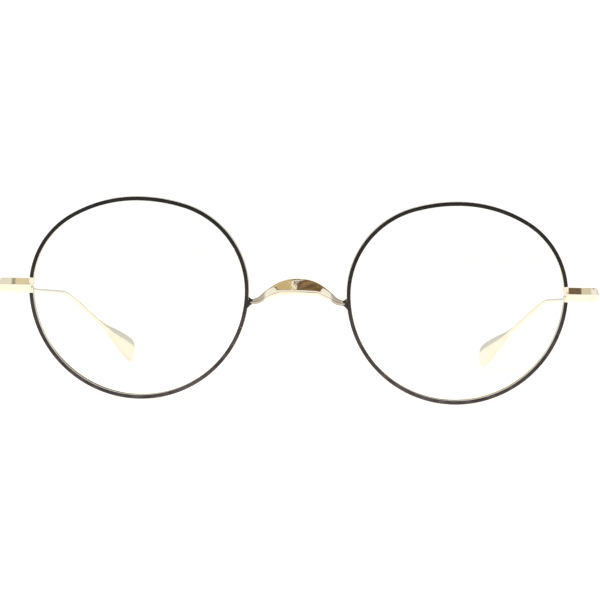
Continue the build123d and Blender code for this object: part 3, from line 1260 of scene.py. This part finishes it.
@dataclass
class SaddleBridge:
    """The strip over the nose, twisted from two round feet into a leaning saddle."""

    fit: Fitting
    standing: Matrix
    crest_height: float = 3.1
    crest_set_back: float = 0.6
    crest_width: float = 4.4
    crest_thickness: float = 1.2
    crest_tilt: float = 45.0
    foot_height: float = -0.45
    foot_width: float = 1.1
    foot_sink: float = 0.35
    foot_squareness: float = 2.6
    crest_squareness: float = 4.8
    solder_radius: float = 0.5
    solder_flare_up: float = 0.95
    solder_flare_back: float = 0.25
    solder_reach: float = 1.25
    solder_sink: float = 0.15
    solder_lift: float = 0.08
    solder_curve: float = 2.4
    solder_squareness: float = 0.85
    stations: tuple[tuple[float, float, float, float], ...] = (
        (0.0, 1.0, 1.0, 0.0),
        (0.2, 0.965, 0.94, 1.0),
        (0.37, 0.873, 0.70, 3.0),
        (0.51, 0.685, 0.50, 9.0),
        (0.68, 0.374, 0.27, 15.0),
        (0.79, 0.13, 0.12, 19.0),
        (0.9, 0.02, 0.02, 21.0),
        (1.04, 0.0, 0.0, 21.0),
    )

    @property
    def foot(self) -> Vector:
        """Where the left foot meets the eyewire's outer face."""
        return self.fit.wall(self.foot_height, -1)

    def _station(self, span: float) -> tuple[float, float, float]:
        """Rise, widening and lean at a share of the half span, on a smooth curve.

        Args:
            span: 0 at the crest, 1 at the eyewire.

        Returns:
            The three values.
        """
        rows = [(-row[0], *row[1:]) for row in self.stations[1:2]] + list(self.stations)
        rows.append((2 * rows[-1][0] - rows[-2][0], *rows[-1][1:]))
        index = max(i for i in range(1, len(rows) - 1) if rows[i][0] <= span or i == 1)
        index = min(index, len(rows) - 3)
        before, here, there, beyond = rows[index - 1 : index + 3]
        share = (span - here[0]) / (there[0] - here[0])
        values = []
        for column in (1, 2, 3):
            gap = there[0] - here[0]
            slope_here = (there[column] - before[column]) / (there[0] - before[0]) * gap
            slope_there = (beyond[column] - here[column]) / (beyond[0] - here[0]) * gap
            step = there[column] - here[column]
            curve = slope_here * share
            curve += (3 * step - 2 * slope_here - slope_there) * share**2
            curve += (slope_here + slope_there - 2 * step) * share**3
            values.append(here[column] + curve)
        return values[0], values[1], values[2]

    def _ring(self, span: float, count: int = 40) -> list[Vector]:
        """Round and lean a rectangle across the strip.

        Args:
            span: -1 at the right eyewire, 0 at the crest, 1 at the left eyewire.
            count: corners of the ring.

        Returns:
            The corners.
        """
        rise, widen, lean = self._station(abs(span))
        foot = self.foot
        depth = between(foot.y, self.crest_set_back, rise)
        height = between(foot.z, self.crest_height, rise)
        half_width = between(self.foot_width, self.crest_width, widen) / 2
        half_thick = between(self.foot_width, self.crest_thickness, widen) / 2
        tilt = radians(self.crest_tilt + lean)
        squareness = 2 / between(self.foot_squareness, self.crest_squareness, min(1.0, widen * 3))
        ring = []
        for index in range(count):
            angle = 2 * pi * index / count
            wide = half_width * signed_power(cos(angle), squareness)
            thick = half_thick * signed_power(sin(angle), squareness)
            back = wide * cos(tilt) - thick * sin(tilt)
            up = wide * sin(tilt) + thick * cos(tilt)
            ring.append(Vector((span * foot.x, depth + back, height + up)))
        return ring

    def strip(self, gold: bpy.types.Material) -> None:
        """Loft the strip from foot to foot.

        Args:
            gold: its finish.
        """
        end = 1 + self.foot_sink / self.foot.x
        rings = [self._ring(span) for span in spread(-end, end, count=73)]
        piece = Bench.loft("bridge_saddle", rings)
        Bench.seat(piece, self.standing, Side.LEFT, angle=60)
        Bench.dress(piece, gold, "front", "pale_gold", "saddle_bridge")

    def solder(self, side: Side, lacquer: bpy.types.Material) -> None:
        """Loft the flared solder joint at one foot, lacquered over.

        Args:
            side: the side that the foot is on.
            lacquer: its finish.
        """
        foot = self.foot
        rings = []
        for share in spread(0.0, 1.0, count=14):
            flare = share**self.solder_curve
            half_height = self.solder_radius + self.solder_flare_up * flare
            half_depth = self.solder_radius + self.solder_flare_back * flare
            across = foot.x + between(-self.solder_reach, self.solder_sink, share)
            middle = foot.z + self.solder_lift * (1 - share)
            ring = []
            for angle in spread(0.0, 2 * pi, count=33)[:-1]:
                back = half_depth * signed_power(cos(angle), self.solder_squareness)
                up = half_height * signed_power(sin(angle), self.solder_squareness)
                ring.append(Vector((across, foot.y + back, middle + up)))
            rings.append(ring)
        piece = Bench.loft(f"{side.label}_bridge_solder", rings)
        Bench.seat(piece, self.standing, side, angle=60)
        Bench.dress(piece, lacquer, "front", "enamel")


# --- Lock and hinge -------------------------------------------------------------------------


@dataclass
class SmallWork:
    """Lock blocks, hinge leaves and screws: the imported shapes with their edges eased."""

    side: Side
    nodes: dict[str, bpy.types.Object]
    ease: float = 0.045
    weld: float = 0.002

    def eased(self, node: str, body: str, material: bpy.types.Material, slot: str) -> None:
        """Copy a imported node, weld it and round its edges.

        Args:
            node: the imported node, without its side.
            body: the body that the piece rides on.
            material: the finish.
            slot: the record's material slot.
        """
        source = self.nodes[f"{self.side.label}_{node}"]
        bpy.ops.object.select_all(action="DESELECT")
        source.select_set(True)
        bpy.context.view_layer.objects.active = source
        bpy.ops.object.duplicate()
        piece = bpy.context.object
        piece.name = f"{self.side.label}_{node}_eased"
        piece.data.name = piece.name
        for mark in list(piece.keys()):
            del piece[mark]
        place = piece.matrix_world.copy()
        piece.parent = None
        piece.matrix_world = place
        bpy.ops.object.transform_apply(location=True, rotation=True, scale=True)
        bpy.ops.object.mode_set(mode="EDIT")
        bpy.ops.mesh.select_all(action="SELECT")
        bpy.ops.mesh.remove_doubles(threshold=self.weld * MM)
        bpy.ops.mesh.dissolve_limited(angle_limit=radians(1.0))
        bpy.ops.mesh.normals_make_consistent(inside=False)
        bpy.ops.object.mode_set(mode="OBJECT")
        Bench.bevel(piece, self.ease * MM, segments=2, limit=45)
        Bench.smooth(piece, angle=40)
        Bench.dress(piece, material, body, slot, f"{self.side.label}_{node}")


# --- Studio ---------------------------------------------------------------------------------


@dataclass(frozen=True)
class Heading:
    """A direction from the frame, in parts of a length of 1, with noise around 0."""

    across: Signal
    along: Signal
    up: Signal
    uneven: Signal


@dataclass(frozen=True)
class Room:
    """What the metal mirrors: pale walls, a grey backdrop, drapes and a brown card overhead.

    Places are parts of a direction of length 1 from the frame: across to the wearer's left,
    along to the back, and up. A pair of places is where something starts and where it is whole.
    The camera itself sees plain white.
    """

    lumps: Grain = (14.0, 3.0)
    wall_low: Colour = (0.88, 0.885, 0.88, 1.0)
    wall_high: Colour = (0.97, 0.97, 0.96, 1.0)
    wall_fade: Steps = (0.0, 0.7)
    backdrop: Colour = (0.72, 0.73, 0.74, 1.0)
    backdrop_front: Steps = (0.2, 0.5)
    backdrop_foot: Steps = (-0.05, 0.02)
    backdrop_top: Steps = (0.34, 0.27)
    drape_foot: Steps = (0.12, 0.2)
    drape_top: Steps = (0.7, 0.6)
    drape_back: Steps = (0.3, 0.1)
    drape_end: Steps = (0.66, 0.6)
    drape_hem: float = 0.06
    drape_fold: float = 0.03
    first_drape: Colour = (0.84, 0.84, 0.80, 1.0)
    drapes: tuple[tuple[Steps, Colour], ...] = (
        ((-0.44, -0.37), (0.38, 0.34, 0.25, 1.0)),
        ((-0.24, -0.215), (0.78, 0.69, 0.50, 1.0)),
        ((-0.03, 0.0), (0.14, 0.095, 0.045, 1.0)),
        ((0.14, 0.17), (0.72, 0.66, 0.52, 1.0)),
    )
    card_foot: Steps = (0.5, 0.62)
    card_back: Steps = (0.75, 0.6)
    card_front: Steps = (-0.012, 0.012)
    card_rim: Steps = (0.05, 0.02)
    card_slant: float = 0.27
    card_reach: float = 0.205
    card_ripple: float = 0.012
    card_gold: Colour = (0.62, 0.49, 0.27, 1.0)
    card_gold_end: Steps = (-0.044, -0.038)
    card_rust: Colour = (0.15, 0.095, 0.05, 1.0)
    card_ochre: Colour = (0.30, 0.20, 0.10, 1.0)
    card_contrast: float = 3.0
    card_mottle: Steps = (0.35, 0.75)
    card_edging: Colour = (0.16, 0.11, 0.055, 1.0)
    slit: Colour = (0.97, 0.95, 0.88, 1.0)
    slit_place: float = 0.043
    slit_slant: float = 0.12
    slit_width: Steps = (0.009, 0.005)

    def _drapes(self, board: Board, wall: Any, to: Heading) -> bpy.types.NodeSocket:
        """Hang the drapes high behind the camera, where the endpieces mirror them.

        Args:
            board: the world's nodes.
            wall: the colours behind the drapes.
            to: the direction that is coloured.

        Returns:
            The colours with the drapes.
        """
        across = to.across + to.uneven * self.drape_fold
        hem = to.up + to.uneven * self.drape_hem
        hung = hem.rise(*self.drape_foot) * to.up.rise(*self.drape_top)
        hung = hung * to.along.rise(*self.drape_back) * across.rise(*self.drape_end)
        colour = self.first_drape
        for start, drape in self.drapes:
            colour = board.blend(across.rise(*start), colour, drape)
        return board.blend(hung, wall, colour)

    def _card(self, board: Board, wall: Any, to: Heading) -> bpy.types.NodeSocket:
        """Hold the card overhead, where the crest mirrors it: pale gold, a slit, mottled brown.

        Args:
            board: the world's nodes.
            wall: the colours behind the card.
            to: the direction that is coloured.

        Returns:
            The colours with the card.
        """
        across = to.across + to.uneven * self.card_ripple
        inside = to.along + across * self.card_slant + self.card_reach
        overhead = to.up.rise(*self.card_foot) * to.along.rise(*self.card_back)
        overhead = overhead * inside.rise(*self.card_front)
        mottle = (to.uneven * self.card_contrast + 0.5).rise(*self.card_mottle)
        brown = board.blend(mottle, self.card_rust, self.card_ochre)
        colour = board.blend(across.rise(*self.card_gold_end), self.card_gold, brown)
        aside = (across + self.slit_place - to.along * self.slit_slant).size()
        colour = board.blend(aside.rise(*self.slit_width), colour, self.slit)
        colour = board.blend(inside.rise(*self.card_rim), colour, self.card_edging)
        return board.blend(overhead, wall, colour)

    def make(self, headroom: float) -> bpy.types.World:
        """Build the world.

        Args:
            headroom: strength of the white that the camera sees; the rest is dimmed to match.

        Returns:
            The world.
        """
        world = bpy.data.worlds.new("white_room")
        world.use_nodes = True
        board = Board(world.node_tree)
        ray = board.node("ShaderNodeTexCoord").outputs["Generated"]
        across, along, up = board.axes(ray)
        scale, detail = self.lumps
        noise = board.node("ShaderNodeTexNoise", None, {"Vector": ray, "Scale": scale, "Detail": detail})
        to = Heading(across, along, up, Signal(board, noise.outputs[0]) - 0.5)
        colour = board.blend(up.rise(*self.wall_fade), self.wall_low, self.wall_high)
        behind = along.rise(*self.backdrop_front) * up.rise(*self.backdrop_foot)
        behind = behind * up.rise(*self.backdrop_top)
        colour = board.blend(behind, colour, self.backdrop)
        colour = self._drapes(board, colour, to)
        colour = self._card(board, colour, to)
        colour = board.blend(1 - 1 / headroom, colour, BLACK)
        seen = Signal(board, board.node("ShaderNodeLightPath").outputs["Is Camera Ray"])
        colour = board.blend(seen, colour, WHITE)
        background = board.node("ShaderNodeBackground", None, {"Color": colour, "Strength": headroom})
        board.node("ShaderNodeOutputWorld", None, {"Surface": background.outputs[0]})
        return world


@dataclass
class Studio:
    """The table, the room, one soft lamp and the camera; places in metres."""

    distance: float = 0.500
    lens: float = 136.2
    sensor: float = 36.0
    look_down: float = 1.81
    look_left: float = 1.07
    roll: float = 1.0
    aim_height: float = 0.02255
    aim_across: float = 0.00047
    aim_depth: float = -0.0675
    headroom: float = 1.1
    table_size: float = 8.0
    lamp_place: tuple[float, float, float] = (-0.62, -0.35, 0.55)
    lamp_aim: tuple[float, float, float] = (0.0, -0.03, 0.02)
    lamp_size: float = 0.5
    lamp_energy: float = 1.0

    def floor(self) -> None:
        """Add a table top without an edge in sight."""
        bpy.ops.object.select_all(action="DESELECT")
        bpy.ops.mesh.primitive_plane_add(size=self.table_size, location=(0, 0, 0))
        table = bpy.context.object
        table.name = "table_top"
        bpy.ops.object.mode_set(mode="EDIT")
        bpy.ops.mesh.select_all(action="SELECT")
        bpy.ops.mesh.subdivide(number_cuts=6)
        bpy.ops.object.mode_set(mode="OBJECT")
        table.data.materials.append(PaleFloor().make())
        table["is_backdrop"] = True

    def surroundings(self) -> None:
        """Stand the frame in its room."""
        bpy.context.scene.world = Room().make(self.headroom)

    def lights(self) -> None:
        """Add one broad soft lamp from the upper left."""
        place = Vector(self.lamp_place)
        bpy.ops.object.light_add(type="AREA", location=place)
        lamp = bpy.context.object
        lamp.name = "softbox"
        lamp.data.size = self.lamp_size
        lamp.data.energy = self.lamp_energy
        lamp.visible_glossy = False
        lamp.visible_camera = False
        aim = Vector(self.lamp_aim) - place
        lamp.rotation_euler = aim.to_track_quat("-Z", "Y").to_euler()

    def camera(self) -> None:
        """Look at the front from just above, a touch from the viewer's right."""
        bpy.ops.object.camera_add()
        camera = bpy.context.object
        camera.name = "front_camera"
        camera.data.lens = self.lens
        camera.data.sensor_width = self.sensor
        camera.data.clip_start = 10 * MM
        down, left = radians(self.look_down), radians(self.look_left)
        forward = Vector((-sin(left) * cos(down), cos(left) * cos(down), -sin(down)))
        aim = Vector((self.aim_across, self.aim_depth, self.aim_height))
        turn = forward.to_track_quat("-Z", "Y").to_matrix().to_4x4()
        roll = Matrix.Rotation(radians(self.roll), 4, "Z")
        camera.matrix_world = Matrix.Translation(aim - forward * self.distance) @ turn @ roll
        bpy.context.scene.camera = camera
        bpy.context.scene.view_settings.view_transform = "Standard"


def build(frame: dict[str, Any]) -> None:
    """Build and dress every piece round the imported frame.
    """
    fit = Fitting()
    standing = fit.standing(frame["record"])
    gold = PaleGold().make()
    satin = PaleGold(name="satin_gold", smooth=0.2, worn=0.32).make()
    brown = BrownLacquer().make()
    foot_brown = BrownLacquer(name="foot_lacquer", foot_inner=0.0096, foot_outer=0.0099).make()
    steel = TurnedSteel().make()
    clear = ClearLens().make()
    bridge = SaddleBridge(fit, standing)
    bridge.strip(PaleGold(
        name="soldered_gold", smooth=0.03, worn=0.09, end_grey_inner=0.0069, end_grey_outer=0.0077
    ).make())
    for side in Side:
        rim = Rim(fit, standing, side)
        rim.eyewire(satin)
        rim.lacquer(brown)
        rim.lens(clear)
        bridge.solder(side, foot_brown)
        Endpiece(fit, standing, side).bar(gold)
        Temple(fit, standing, side).make(gold)
        work = SmallWork(side, frame["nodes"])
        arm = f"{side.label}_temple"
        work.eased("upper_lock_block", "front", gold, "pale_gold")
        work.eased("lower_lock_block", "front", gold, "pale_gold")
        work.eased("front_hinge_leaf", "front", gold, "pale_gold")
        work.eased("temple_hinge_leaf", arm, gold, "pale_gold")
        work.eased("lock_screw", "front", steel, "screw_steel")
        work.eased("hinge_screw", "front", steel, "screw_steel")


def main() -> dict[str, Any]:
    """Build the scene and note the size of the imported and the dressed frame.

    Returns:
        The lowest and highest corners of both, in metres.
    """
    logging.basicConfig(level=logging.INFO, format="%(name)s %(message)s")
    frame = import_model()
    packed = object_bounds()
    studio = Studio()
    studio.camera()
    studio.surroundings()
    studio.lights()
    studio.floor()
    build(frame)
    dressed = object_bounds()
    sizes = {
        "cad": [list(corner) for corner in packed],
        "visual": [list(corner) for corner in dressed],
    }
    return sizes


if __name__ == "__main__":
    log.info("sizes %s", main())
